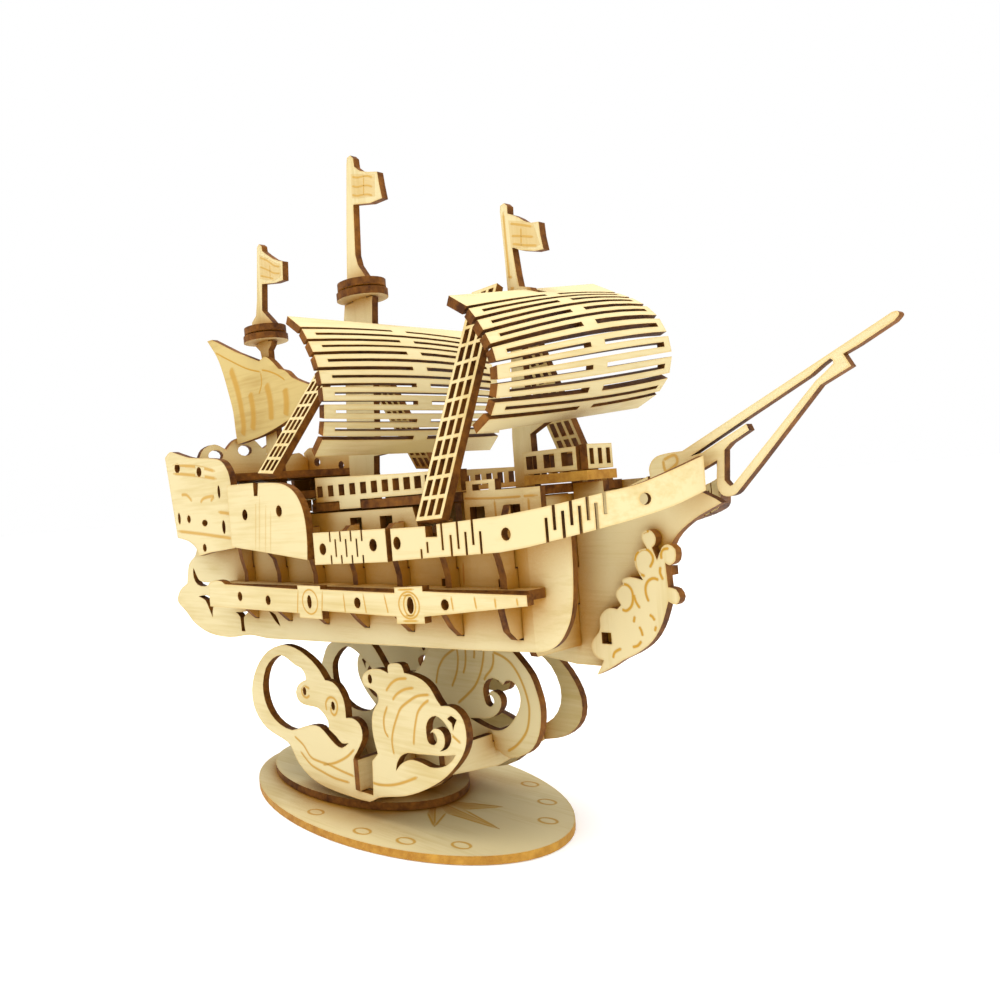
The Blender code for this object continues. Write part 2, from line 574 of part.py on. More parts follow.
def build_bulwarks(parts):
    line = open_curve(BULWARK_PLAN)
    bow = 119.6

    mid_outline = [(14.5, 67.5), (43.8, 68.2), (43.8, 75.6), (14.5, 75.3)]
    first_slit = 21.8
    slit_pitch = 2.16
    mid_notches = []
    mid_slits = [oval((18.4, 71.3), 1.45, 1.45, 12), oval((38.9, 72), 1.45, 1.45, 12)]
    for index in range(7):
        u = first_slit + slit_pitch * index
        if index % 2:
            mid_slits.append(box_loop(u - SLIT / 2.0, 69.4, u + SLIT / 2.0, 73.6))
        else:
            mid_notches += [(1, u, 69.8), (-1, u, 73.0)]
    mid_folds = [first_slit + slit_pitch * (index + 0.5) for index in range(6)]

    fore_outline = curve_loop([
        (45.7, 68.4, 1), (62, 69.2, 1), (78.4, 69.9, 1), (85.6, 70.8), (93, 72.2), (99.3, 73.4),
        (106.4, 74.9), (113, 76.5), (bow, 78.8, 1), (bow, 85.3, 1), (111.8, 82.6),
        (106.6, 81.0), (102, 80.2), (97, 79.4), (92.2, 78.6), (86.3, 77.8), (79, 77.0, 1),
        (61.3, 76, 1), (61.3, 73.4, 1), (57.6, 73.4, 1), (57.6, 75.7, 1), (45.7, 75.5, 1)], 3)
    fore_notches = [(1, 55.8, 70.9), (-1, 62.8, 70.6), (1, 65.4, 73.7), (-1, 67.5, 70.8),
                    (1, 69.7, 74.2), (-1, 71.7, 71.5), (1, 73.7, 74.2),
                    (1, 89.4, 76.1), (-1, 91.0, 73.7), (1, 92.7, 77.2), (-1, 94.3, 74.4),
                    (1, 95.9, 77.9), (-1, 97.4, 75.1), (1, 98.9, 78.2), (-1, 100.5, 76.0)]
    fore_holes = [oval((47.7, 72.3), 1.3, 1.45, 12), oval((80.2, 73.4), 1.2, 1.3, 12),
                  oval((107.7, 78.2), 1.1, 1.15, 12), box_loop(57.6, 70.1, 58.2, 72.4)]
    fore_folds = [64.1, 66.4, 68.6, 70.7, 72.7, 75.5, 77.6, 82.4, 84.4, 87.4, 90.05, 91.85,
                  93.5, 95.25, 96.65, 98.15, 99.7, 102.9, 104.6, 105.8, 109.4, 111.0, 116.2]
    for side, label in ((-1, "starboard"), (1, "port")):
        bent_plate("bulwark_mid_" + label, [notched(mid_outline, mid_notches)] + mid_slits,
                   folded_surface(line, [14.5] + mid_folds + [43.8], side), parts, mid_folds)
        bent_plate("bulwark_fore_" + label, [notched(fore_outline, fore_notches)] + fore_holes,
                   folded_surface(line, [45.7] + fore_folds + [bow], side), parts, fore_folds)


# Stern: quarter and gallery panels and the transom with its row of arches.
def build_stern(parts):
    quarter = curve_loop([
        (-27, 72.4, 1), (-10.8, 70.9, 1), (11.1, 68.7, 1), (11.7, 73.6), (11.5, 78.6),
        (10.3, 82.4), (7.6, 85.7), (3.6, 87.7), (-1.2, 88.6), (-9.8, 89.1, 1),
        (-10.6, 85.7, 1), (-12.5, 85.8, 1), (-12.4, 89.3, 1), (-27, 89.5, 1)], 3)
    quarter_holes = [oval((-18.2, 81), 1.45, 1.5, 12), oval((-0.4, 81.3), 1.45, 1.5, 12)]
    gallery = curve_loop([
        (-65, 75.5, 1), (-58, 74.4), (-53.4, 72.4), (-51.4, 69.8, 1), (-44, 70.8, 1),
        (-29.1, 71.9, 1), (-28.9, 79.8), (-28.5, 88.8), (-29.4, 93.3), (-33, 96.7),
        (-39.5, 98), (-52.2, 99.2), (-60.6, 101.1, 1), (-65.4, 102.1), (-69.3, 100.6, 1)], 3)
    gallery_holes = [
        oval((-61.3, 96.8), 1.9, 1.5, 10), oval((-47.1, 94.6), 1.6, 1.5, 10),
        oval((-35.8, 88.1), 0.8, 1.9, 10), oval((-34.6, 78), 1.0, 2.0, 10),
        oval((-62.8, 81.4), 0.9, 1.8, 10), oval((-56.3, 81), 1.2, 1.2, 10),
        oval((-46.1, 79.5), 1.8, 1.0, 10), oval((-47.5, 72.2), 1.2, 1.2, 10)]
    for side, label in ((-1, "starboard"), (1, "port")):
        lengthways_plate("quarter_panel_" + label, [quarter] + quarter_holes,
                         side * QUARTER_Y, parts)
        lengthways_plate("gallery_panel_" + label, [gallery] + gallery_holes,
                         side * GALLERY_Y, parts)
    inside = HULL_HALF - PLY / 2.0 - FIT
    half = [(0, 60, 1), (14, 60, 1), (inside, 66, 1), (inside, 80.2, 1),
            (GALLERY_FRAME_HALF, 80.2, 1), (GALLERY_FRAME_HALF, 98, 1), (20.4, 100.6),
            (16.4, 99.4, 1), (14.4, 102.8), (10.4, 104.2), (6.6, 102.4, 1), (3.6, 105.4),
            (0, 106.4)]
    outline = curve_loop(half + [(-point[0],) + tuple(point[1:])
                                 for point in reversed(half[1:-1])], 3)
    windows = [oval((y, 90), 2.6, 4.4, 14) for y in (-15, -5, 5, 15)]
    arches = [oval((y, z), 2.6, 1.8, 12) for y, z in ((-10.4, 100.6), (0, 102.0), (10.4, 100.6))]
    crossways_plate("transom", [outline] + windows + arches, TRANSOM_X, parts)


# Decks: level plates with slots for the masts.
def mast_slot(x_low, x_high):
    return ((x_low - FIT, -PLY / 2.0 - FIT, 50.0), (x_high + FIT, PLY / 2.0 + FIT, 130.0))


def build_decks(parts, cutters):
    broad = RAIL_Y + 1.0
    main_loop = [(2.6, -broad), (61.2, -broad), (61.2, -FORE_DECK_HALF),
                 (75.7, -FORE_DECK_HALF), (75.7, FORE_DECK_HALF), (61.2, FORE_DECK_HALF),
                 (61.2, broad), (2.6, broad)]
    main_deck = level_plate("main_deck", [main_loop], MAIN_DECK_Z, parts)
    tab_low, tab_high = RAIL_TAB
    notches = [((tab_low - FIT, min(y, 2.0 * y), 70.0), (tab_high + FIT, max(y, 2.0 * y), 90.0))
               for y in (-RAIL_Y + 1.0 + FIT, RAIL_Y - 1.0 - FIT)]
    cut_boxes(main_deck, [mast_slot(-8, 6), mast_slot(55, 65)] + notches, cutters)
    aft_x = TRANSOM_X + PLY / 2.0 + FIT
    narrow = GALLERY_FRAME_HALF
    wide = FRAME_HALF
    quarter_loop = [(aft_x, -narrow), (-28.4, -narrow), (-28.4, -wide), (2, -wide),
                    (2, wide), (-28.4, wide), (-28.4, narrow), (aft_x, narrow)]
    quarter_deck = level_plate("quarter_deck", [quarter_loop], QUARTER_DECK_Z, parts)
    cut_boxes(quarter_deck, [mast_slot(-8, 6), mast_slot(-52, -42)], cutters)
    poop = level_plate("poop_deck", [box_loop(aft_x, -narrow, -33, narrow)], POOP_DECK_Z, parts)
    cut_boxes(poop, [mast_slot(-52, -42)], cutters)
    roof_loop = box_loop(65.4, -ROOF_HALF, 83.6, ROOF_HALF)
    level_plate("deckhouse_roof", [roof_loop], ROOF_Z, parts)


def railing_loops(low, high, count, window, frame_share=0.24):
    loops = [box_loop(low[0], low[1], high[0], high[1])]
    pitch = (high[0] - low[0]) / count
    inset = (high[1] - low[1]) * frame_share
    for index in range(count):
        centre = low[0] + pitch * (index + 0.5)
        loops.append(box_loop(centre - window / 2.0, low[1] + inset,
                              centre + window / 2.0, high[1] - inset))
    return loops


def build_railings(parts):
    foot = ROOF_Z + PLY / 2.0 + FIT
    house_side = railing_loops((65.4, foot), (81.0, foot + 4.9), 3, 3.2, 0.2)
    tab_low, tab_high = RAIL_TAB
    mid_rail = [[(5, 82.6), (tab_low, 82.6), (tab_low, 80.5), (tab_high, 80.5),
                 (tab_high, 82.6), (61.2, 82.6), (61.2, 87.2), (40, 87.7), (5, 89)]]
    centre = 6.9
    for index in range(13):
        mid_rail.append(box_loop(centre - 1.2, 83.9, centre + 1.2, 86.7))
        centre += 4.9 - 0.12 * index
    for side, label in ((-1, "starboard"), (1, "port")):
        lengthways_plate("mid_railing_" + label, mid_rail, side * RAIL_Y, parts)
        lengthways_plate("deckhouse_railing_" + label, house_side,
                         side * (ROOF_HALF - PLY / 2.0), parts)
    crossways_plate("deckhouse_railing_front",
                    railing_loops((-4.1, foot), (4.1, foot + 5.2), 3, 1.3, 0.18), 82.4, parts)


# Masts: upright plates with their flags, and level plates for the tops.
def build_masts(parts, cutters):
    foot = KEEL_TOP + FIT
    main_outline = [
        (-7, foot), (3.6, foot), (3.6, 80), (5.4, 94), (18.0, 94.8), (18.5, 96.4), (6.4, 98),
        (8.8, 124), (11.7, 125.6), (11.7, 127.2), (9.6, 129.6), (10.3, 135), (11.4, 139.3),
        (8.9, 141.6), (5.4, 146.1), (4.6, 149), (5.6, 162.4), (9.5, 161.5), (13, 160.7),
        (18.3, 160.5), (17.6, 164.2), (17.1, 167.8), (13.3, 168.9), (9.8, 170.2), (7.4, 172.1),
        (7.2, 174.5), (6, 175.6), (4.5, 175.4), (4, 173.7), (1.5, 156.6), (-0.3, 142.2),
        (-2, 137.6), (-3.2, 132.8), (-4.6, 120), (-6.4, 100)]
    mizzen_outline = [
        (-51.5, foot), (-43, foot), (-43.8, 100), (-44.6, 128), (-44.6, 131.4),
        (-42.8, 132.8), (-41, 137), (-39.8, 138.4), (-42.2, 140.5), (-46.4, 144),
        (-45.2, 152.1), (-37.5, 150.8), (-32.9, 150.6), (-32.3, 156.2), (-34.2, 156.7),
        (-37.5, 158.1), (-41.3, 160.5), (-43.4, 162), (-43.6, 163.6), (-45, 164.5),
        (-46.3, 163.8), (-49, 147.9), (-50.4, 143.2), (-53.2, 141.6), (-53.6, 138.6),
        (-52.4, 134), (-49.6, 131.8), (-48.6, 128), (-51, 100)]
    fore_outline = [
        (58.4, foot), (65, foot), (64.6, 94), (71.6, 97.0), (71.4, 98.8), (64, 98.4),
        (64.4, 124.2), (68.3, 124.1), (68.8, 125.2), (68.2, 126.3), (64.9, 127.2),
        (64.4, 130), (63.7, 136.3), (66.1, 135), (70.6, 133.7), (73.1, 133.5), (72.5, 136.7),
        (72.3, 139.7), (69.8, 140.1), (68, 141), (66.6, 142.1), (64.8, 143.2), (63.1, 144),
        (63.2, 145.7), (62.3, 146.6), (61, 146.3), (60.8, 145), (61.1, 136), (61.2, 127.6),
        (60.4, 110), (58.8, 94)]
    masts = {}
    for name, outline in (("main", main_outline), ("mizzen", mizzen_outline),
                          ("fore", fore_outline)):
        masts[name] = lengthways_plate(name + "_mast", [outline], 0.0, parts)

    layer = PLY + 2.0 * FIT
    neck = 3.0
    for name, x, z in (("main", 4.9, 137.9), ("mizzen", -47.3, 135.4)):
        for label, level, shrink in (("lower", z, 1.0), ("upper", z + layer, 0.94)):
            loop = oval((x, 0), 8.2 * shrink, 6.3 * shrink, 28)
            plate = level_plate(name + "_top_" + label, [loop], level, parts)
            slot = ((x - neck - FIT, -PLY / 2.0 - FIT, z - 5.0),
                    (x + neck + FIT, PLY / 2.0 + FIT, z + 9.0))
            cut_boxes(plate, [slot], cutters)
        low = z - PLY / 2.0 - FIT
        high = z + layer + PLY / 2.0 + FIT
        cut_boxes(masts[name], [((x + neck, -5.0, low), (x + 30.0, 5.0, high)),
                                ((x - 30.0, -5.0, low), (x - neck, 5.0, high))], cutters)


# Sails: bent sheets of planks joined by bridges at the centre line.
MAIN_SAIL_PROFILE = ((12.5, 127.7), (17.3, 124.6), (20.8, 119.7), (22.9, 115.6),
                     (24.2, 111.0), (24.6, 106.0), (24.0, 101.2), (22.2, 96.8),
                     (19.2, 94.4))
FORE_SAIL_STARBOARD = ((70.7, 120.4), (74.4, 118.4), (77.5, 115.0), (80.0, 111.2),
                       (81.8, 107.4), (82.1, 103.2), (81.0, 99.2), (78.8, 96.0),
                       (75.4, 94.2))
FORE_SAIL_PORT = ((62.1, 130.3), (67.0, 127.6), (72.0, 125.2), (76.4, 122.6),
                  (80.2, 119.0), (82.5, 114.6), (83.1, 109.6), (81.2, 104.6),
                  (76.4, 101.0), (73.0, 99.9))


def sail_loops(half, length):
    pitch = (length - 4.0) / SAIL_PLANKS
    edges = [2.6 + pitch * index for index in range(1, SAIL_PLANKS)]
    bridge = SAIL_BRIDGE / 2.0
    gap = SAIL_GAP / 2.0
    right = [(half, 0.0)]
    for edge in edges:
        right += [(half, edge - gap), (bridge, edge - gap), (bridge, edge + gap),
                  (half, edge + gap)]
    right.append((half, length))
    outline = right + [(-y, s) for y, s in reversed(right)]
    loops = [outline]
    for first, second in zip(edges[:-1], edges[1:]):
        middle = (first + second) / 2.0
        loops.append(box_loop(-half + SAIL_END, middle - SAIL_SLOT / 2.0,
                              half - SAIL_END, middle + SAIL_SLOT / 2.0))
    return loops


def sail_surface(line_starboard, line_port, half, bulge):
    length_starboard = line_length(line_starboard)
    length_port = line_length(line_port)

    def place(u, v, w):
        share = (u + half) / (2.0 * half)
        ratio = v / length_starboard
        near, near_tangent = along(line_starboard, ratio * length_starboard)
        far, far_tangent = along(line_port, ratio * length_port)
        point = near.lerp(far, share)
        tangent = near_tangent.lerp(far_tangent, share).normalized()
        normal = Vector((-tangent.y, tangent.x))
        fullness = math.sin(math.pi * min(max(ratio, 0.0), 1.0))
        point = point + normal * (w + bulge * fullness * (1.0 - (u / half) ** 2))
        return (point.x, u, point.y)
    return place, length_starboard


def build_square_sail(name, starboard, port, half, bulge, parts):
    surface, length = sail_surface(open_curve(starboard, 4), open_curve(port, 4), half, bulge)
    stations = [half * share for share in (-0.75, -0.5, -0.25, 0.0, 0.25, 0.5, 0.75)]
    return bent_plate(name, sail_loops(half, length), surface, parts, stations)


def build_sails(parts, cutters):
    build_square_sail("main_sail", MAIN_SAIL_PROFILE, MAIN_SAIL_PROFILE, MAIN_SAIL_HALF,
                      2.4, parts)
    fore_sail = build_square_sail("fore_sail", FORE_SAIL_STARBOARD, FORE_SAIL_PORT,
                                  FORE_SAIL_HALF, 2.2, parts)
    cut_boxes(fore_sail, [slot_around(x=(60, 71), y=0.0, z=(123.6, 134))], cutters)
    mizzen_outline = curve_loop([
        (-79.7, 140.2, 1), (-76.4, 140.1, 1), (-61.2, 133.5, 1), (-46.9, 128.2, 1),
        (-43.2, 129), (-39.4, 127), (-36, 124.2, 1), (-32, 122.9), (-28.6, 120.4),
        (-19.9, 117.1, 1), (-18.3, 114.9, 1), (-27.8, 109.4, 1), (-40, 106.7), (-50.8, 105),
        (-64.9, 103.9, 1), (-65.5, 108.7), (-66, 114.7), (-68, 120.9), (-70.4, 127.4),
        (-73.8, 133.8)], 3)
    lengthways_plate("mizzen_sail", [mizzen_outline], -PLY - FIT, parts)


# Shrouds: leaning lattice strips from the rail to the masts.
def shroud_loops(width, length, rows):
    loops = [box_loop(-width / 2.0, 0.0, width / 2.0, length)]
    column = (width - 4.0 * SHROUD_BAR) / 3.0
    row = (length - (rows + 1) * SHROUD_BAR) / rows
    for index in range(3):
        low_u = -width / 2.0 + SHROUD_BAR + index * (column + SHROUD_BAR)
        for number in range(rows):
            low_v = SHROUD_BAR + number * (row + SHROUD_BAR)
            loops.append(box_loop(low_u, low_v, low_u + column, low_v + row))
    return loops


def build_shroud(name, foot, head, rows, width, side, parts):
    foot = Vector(foot)
    rise = Vector(head) - foot
    up = rise.normalized()
    ahead = (Vector((1.0, 0.0, 0.0)) - up * up.x).normalized()
    out = ahead.cross(up)

    def place(u, v, w):
        point = foot + ahead * u + up * v + out * w
        return (point.x, side * point.y, point.z)
    bent_plate(name, shroud_loops(width, rise.length, rows), place, parts)


def build_shrouds(parts):
    for side, label in ((-1, "starboard"), (1, "port")):
        build_shroud("fore_shroud_" + label, (59, 27, 76.6), (56.5, 2.8, 128), 12, 8.4,
                     side, parts)
        build_shroud("main_shroud_" + label, (-6, 27, 90.8), (-1.5, 2.8, 126), 10, 8.4,
                     side, parts)


# Bow: bowsprit with its bobstay frame, and a carved ornament beside the keel.
def build_bow(parts):
    bowsprit = curve_loop([
        (97, 79, 1), (96.4, 83.5), (97.1, 85.1), (98.6, 86.1), (101.3, 86.5), (104.6, 86.6, 1),
        (146.3, 105.2, 1), (147.1, 105.2), (147.4, 104.6), (146.5, 103.7, 1),
        (140.4, 100.9, 1), (137.8, 99.9, 1), (139, 97.7, 1), (133.4, 95.3, 1), (116, 78),
        (114.1, 77.3), (112.4, 77.9), (111.7, 79.8), (112.2, 84.2, 1), (108.3, 82.6, 1),
        (106, 82, 1), (106, 79, 1)], 3)
    opening = curve_loop([
        (106.3, 85.4, 1), (118.7, 91.2, 1), (131.7, 97.2, 1), (135.5, 99.5), (136, 98.6),
        (132.6, 96.1, 1), (115.6, 79.9), (114.5, 79.2), (113.4, 80.4, 1), (113.9, 86, 1),
        (115.2, 87.1, 1), (119.3, 89.1, 1), (118.8, 90.3, 1), (109, 85.9, 1)], 2)
    lengthways_plate("bowsprit", [bowsprit, opening], 0.0, parts)
    ornament = curve_loop([
        (80.5, 41.4, 1), (82.7, 44.7, 1), (81.1, 45), (79.9, 46.2), (79.5, 47.7), (80.5, 49.2),
        (82, 50.6), (82.4, 51.9, 1), (82.5, 53.6), (83.8, 55.1), (85.5, 55.8), (87.3, 55.6, 1),
        (88.4, 56.5, 1), (87.3, 58.4), (88, 60), (89.4, 60.8, 1), (89.2, 61.7), (91.3, 62.3),
        (94.5, 61.7, 1), (93, 64.1), (92.7, 65.7), (93.3, 67.2), (94.6, 67.9), (96.1, 68.1, 1),
        (95, 69.9), (95.2, 71.1), (96.4, 71.7), (97.6, 71.4), (98.4, 70.2), (98.1, 68.9),
        (97.3, 68.2, 1), (98.3, 65.7, 1), (99.7, 68.2), (101.2, 68.8), (102.8, 67.8),
        (102.6, 65.6), (101.2, 64.7), (100.2, 65.2, 1), (100.4, 60.4, 1), (102.2, 60),
        (103, 58.4), (102, 57), (100.2, 57.6, 1), (98.5, 53.5), (96.6, 50.6), (94.4, 48.5),
        (91.2, 46.6), (88, 45.2), (84.1, 43)], 2)
    tab_hole = box_loop(82.6, 48.2, 85.2, 50.6)
    lengthways_plate("bow_ornament", [ornament, tab_hole], -PLY - FIT, parts)


def build_ship():
    clear_scene()
    parts = new_collection("sailing_ship_model")
    cutters = new_collection("cutters")
    build_stand(parts, cutters)
    build_hull(parts, cutters)
    build_wale(parts, cutters)
    build_bulwarks(parts)
    build_stern(parts)
    build_decks(parts, cutters)
    build_railings(parts)
    build_masts(parts, cutters)
    build_sails(parts, cutters)
    build_shrouds(parts)
    build_bow(parts)


build_ship()
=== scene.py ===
import math

import bmesh
import bpy
from mathutils import Matrix, Vector
from mathutils.bvhtree import BVHTree


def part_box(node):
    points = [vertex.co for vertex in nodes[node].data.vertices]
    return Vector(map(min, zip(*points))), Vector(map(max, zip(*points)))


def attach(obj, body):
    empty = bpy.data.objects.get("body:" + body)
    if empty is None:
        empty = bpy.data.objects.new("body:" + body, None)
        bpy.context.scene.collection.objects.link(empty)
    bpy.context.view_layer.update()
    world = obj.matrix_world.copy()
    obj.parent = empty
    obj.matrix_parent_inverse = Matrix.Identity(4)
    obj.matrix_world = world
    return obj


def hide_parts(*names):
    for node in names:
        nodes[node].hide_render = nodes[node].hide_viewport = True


# Looks of the slot-together plywood ship: pale veneer faces, laser-burnt edges and
# engraved lines. Sizes are in millimetres in the part's own frame, and the lights' in metres.

MM = 0.001
CAMERA_PLACE = (204.78, -148.02, 81.86)
CAMERA_AHEAD = (-0.71800, 0.69597, -0.01032)
CAMERA_RIGHT = (0.69427, 0.71502, -0.08213)
CAMERA_LENS = 32.47
CAMERA_SENSOR = 36.0
CAMERA_NEAR = 0.01

FLOOR_SIZE = 30.0
FLOOR_CELLS = 12
FLOOR_DROP = 0.0002
GLOW_NEAR = 0.2
GLOW_FAR = 0.12
GLOW_START = 0.25
GLOW_END = 1.6
WARM = (1.0, 0.96, 0.90)
SOFT = (1.0, 0.97, 0.93)
WHITE = (1.0, 1.0, 1.0)
SHIP_MIDDLE = (0.01, 0.0, 0.08)
STAND_MIDDLE = (0.02, 0.0, 0.02)
# Name, place, aim, size, power and colour of each area light.
LIGHTS = (
    ("key", (-0.45, -0.6, 0.75), SHIP_MIDDLE, 0.45, 0.5, WARM),
    ("fill", (0.65, -0.4, 0.6), SHIP_MIDDLE, 0.6, 1.3, SOFT),
    ("above", (0.15, -0.15, 1.1), SHIP_MIDDLE, 0.8, 10.0, SOFT),
    ("low", (0.55, -0.5, 0.2), STAND_MIDDLE, 0.5, 0.7, WARM),
    ("back", (0.2, 0.8, 0.7), SHIP_MIDDLE, 0.9, 0.6, WHITE))

FACE_TONES = ((0.48, 0.365, 0.145, 1.0), (0.61, 0.515, 0.285, 1.0))
SMOKED_TONES = ((0.38, 0.24, 0.06, 1.0), (0.54, 0.41, 0.16, 1.0))
EDGE_TONES = ((0.05, 0.014, 0.002, 1.0), (0.21, 0.077, 0.009, 1.0))
GOLD_TONES = ((0.30, 0.13, 0.018, 1.0), (0.50, 0.27, 0.045, 1.0))
# Warm brown that the painted shade darkens faces towards where plates stand close.
PAINTED_SHADE_COLOUR = (0.58, 0.31, 0.045, 1.0)
LINE_COLOUR = (0.46, 0.25, 0.03, 1.0)
HALO_COLOUR = (0.52, 0.30, 0.055, 1.0)
PAPER_TONES = ((0.93, 0.93, 0.92, 1.0), (0.96, 0.96, 0.95, 1.0))

FIBRE_ALONG = 26.0
FIBRE_ACROSS = 620.0
FIBRE_SHARE = 0.45
FIGURE_ALONG = 22.0
FIGURE_ACROSS = 90.0
FIGURE_SHARE = 0.75
FACE_STOPS = (0.34, 0.62)
SCORCH_SCALE = 420.0
SCORCH_SHARE = 0.55
STAIN_SCALE = 55.0
STAIN_SHARE = 0.45
EDGE_STOPS = (0.38, 0.64)
PAPER_SCALE = 700.0
PAPER_STOPS = (0.3, 0.7)
EVEN = (1.0, 1.0, 1.0)
ROUGH_LEAST = 0.5
ROUGH_SPREAD = 0.25
GLOSS = 0.12
BUMP_STRENGTH = 0.25
BUMP_DEPTH = 0.08
SCORCH_BUMP = 0.6
EDGE_LIMIT = 0.7
HALO_WIDTH = 0.9
HALO_GAIN = 3.6
HALO_LEAST = 0.1
# Reach and strength of the painted shade where plates stand close.
PAINTED_SHADE_REACH = 10.0
PAINTED_SHADE_GAIN = 2.0

LINE_WIDTH = 0.95
HAIR_LINE = 0.6
THIN_LINE = 0.7
STAR_LINE = 0.8
CARVED_LINE = 0.85
FLAG_LINE = 0.9
RING_LINE = 1.0
BROAD_LINE = 1.3
PLEAT_LINE = 4.2
FAINT_BURN = 0.4
MILD_BURN = 0.8
CLEAR_BURN = 0.9
FULL_BURN = 1.0
FLAG_TINT = 0.45
STAR_TINT = 0.35
PATCH_LIFTS = (0.4, 0.6)
PATCH_RIM = 0.7
LINE_LIFT = 0.03
LINE_STEPS = 5
STRAIGHT_STEPS = 6
RING_STEPS = 24
# Shares of a strip's width, lifts and tones from one border of the strip to the other.
STRIP_PROFILE = ((-0.5, 0.2, 0.0), (-0.22, 1.0, 1.0), (0.22, 1.0, 1.0), (0.5, 0.2, 0.0))
TIP_TAPER = 0.45
# Rays start this far outside a plate, and one that ends deeper has passed through a hole.
RAY_START = 0.01
RAY_REACH = 0.016
FLAT_ENOUGH = 0.8

SMOOTH_LIMIT = math.radians(35.0)
MAIN_FACE_SHARE = 0.2
WELD = 1e-6
WAVE_TURN_X = 8.9
BENT = ("main_sail", "fore_sail", "bulwark_fore_starboard", "bulwark_fore_port")
GOLD_EDGED = ("base_disc", "deckhouse_roof")
SMOKED = ("mizzen_sail",)


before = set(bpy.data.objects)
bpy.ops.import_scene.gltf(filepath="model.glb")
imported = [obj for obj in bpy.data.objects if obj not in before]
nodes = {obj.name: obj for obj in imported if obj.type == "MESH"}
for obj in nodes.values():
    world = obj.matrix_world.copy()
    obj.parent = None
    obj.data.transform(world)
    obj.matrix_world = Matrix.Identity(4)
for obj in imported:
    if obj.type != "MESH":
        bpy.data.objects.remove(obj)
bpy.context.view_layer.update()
veneer = {}


# Material: stretched grain on the faces, scorched wood where the laser has cut, and painted
# shade where plates stand close.
def link(tree, source, target):
    tree.links.new(source, target)


def math_node(tree, operation, first, second=None, clamp=False):
    node = tree.nodes.new("ShaderNodeMath")
    node.operation = operation
    node.use_clamp = clamp
    for socket, value in zip(node.inputs, (first, second)):
        if isinstance(value, bpy.types.NodeSocket):
            link(tree, value, socket)
        elif value is not None:
            socket.default_value = value
    return node.outputs[0]


def noise_node(tree, place, scale, detail, stretch, roughness=0.55):
    mapping = tree.nodes.new("ShaderNodeMapping")
    mapping.inputs["Scale"].default_value = stretch
    link(tree, place, mapping.inputs["Vector"])
    noise = tree.nodes.new("ShaderNodeTexNoise")
    noise.inputs["Scale"].default_value = scale
    noise.inputs["Detail"].default_value = detail
    noise.inputs["Roughness"].default_value = roughness
    link(tree, mapping.outputs[0], noise.inputs["Vector"])
    return noise.outputs["Fac"]


def ramp_node(tree, factor, stops, tones):
    ramp = tree.nodes.new("ShaderNodeValToRGB")
    for element, position, colour in zip(ramp.color_ramp.elements, stops, tones):
        element.position = position
        element.color = colour
    link(tree, factor, ramp.inputs[0])
    return ramp.outputs["Color"]


def mix_node(tree, factor, first, second, blend="MIX"):
    mix = tree.nodes.new("ShaderNodeMix")
    mix.data_type = "RGBA"
    mix.blend_type = blend
    link(tree, factor, mix.inputs["Factor"])
    link(tree, first, mix.inputs[6])
    if isinstance(second, bpy.types.NodeSocket):
        link(tree, second, mix.inputs[7])
    else:
        mix.inputs[7].default_value = second
    return mix.outputs[2]


def alignment(tree, normal, direction):
    # 1 where the normal lies along the direction, either way round, and 0 across it.
    product = tree.nodes.new("ShaderNodeVectorMath")
    product.operation = "DOT_PRODUCT"
    link(tree, normal, product.inputs[0])
    if isinstance(direction, bpy.types.NodeSocket):
        link(tree, direction, product.inputs[1])
    else:
        product.inputs[1].default_value = direction
    return math_node(tree, "ABSOLUTE", product.outputs["Value"])


def named_value(tree, name):
    reader = tree.nodes.new("ShaderNodeAttribute")
    reader.attribute_name = name
    return reader.outputs["Fac"]


def edge_mask(tree, axis):
    # 1 on the cut edges of a flat plate, where the surface doesn't face along its axis.
    if axis is None:
        return named_value(tree, "burn")
    surface = tree.nodes.new("ShaderNodeNewGeometry")
    straight = alignment(tree, surface.outputs["True Normal"], axis)
    return math_node(tree, "LESS_THAN", straight, EDGE_LIMIT)


def halo_mask(tree):
    # How near a point on a face is to a cut, from how far a rounded edge would turn it.
    bevel = tree.nodes.new("ShaderNodeBevel")
    bevel.samples = 4
    bevel.inputs["Radius"].default_value = HALO_WIDTH * MM
    surface = tree.nodes.new("ShaderNodeNewGeometry")
    straight = alignment(tree, bevel.outputs[0], surface.outputs["Normal"])
    turned = math_node(tree, "SUBTRACT", 1.0, straight)
    return math_node(tree, "MULTIPLY", turned, HALO_GAIN, clamp=True)


def painted_shade_mask(tree):
    # Painted shade: the wood darkens towards warm brown wherever other plates stand close and
    # shut out the surrounding light.
    near = tree.nodes.new("ShaderNodeAmbientOcclusion")
    near.samples = 6
    near.inputs["Distance"].default_value = PAINTED_SHADE_REACH * MM
    closed = math_node(tree, "SUBTRACT", 1.0, near.outputs["AO"])
    return math_node(tree, "MULTIPLY", closed, PAINTED_SHADE_GAIN, clamp=True)


def blend_values(tree, first, first_share, second, second_share):
    return math_node(tree, "ADD", math_node(tree, "MULTIPLY", first, first_share),
                     math_node(tree, "MULTIPLY", second, second_share))


